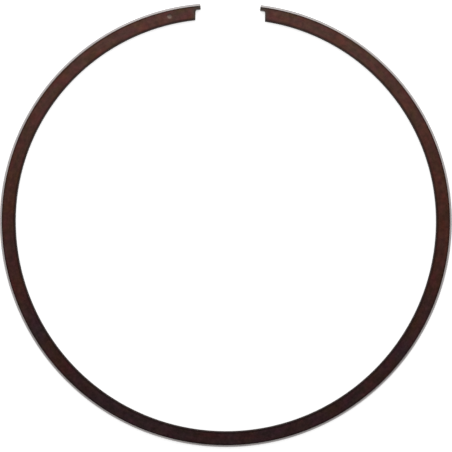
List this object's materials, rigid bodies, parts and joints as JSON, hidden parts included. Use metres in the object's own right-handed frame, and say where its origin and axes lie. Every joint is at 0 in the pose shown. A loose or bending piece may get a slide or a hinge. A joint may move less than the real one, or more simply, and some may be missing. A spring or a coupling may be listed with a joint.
{
  "type": "piston ring",
  "caption": "Split spring ring for a two-stroke piston, dark oxide side faces and a bright plated running face, with a locating pin notch at its gap.",
  "frame": {"origin": "middle of the free outline, on the plane of the lower side face", "axes": "+Z out of the upper side face, +Y from the middle towards the gap, +X across the gap"},
  "size_m": [0.0696, 0.0682, 0.001],
  "materials": {
    "ring_iron": "dark brown oxide on the side faces, bright hard chrome plate on the running face"
  },
  "bodies": {
    "root": {"piston_ring": "ring_iron"}
  },
  "joints": []
}
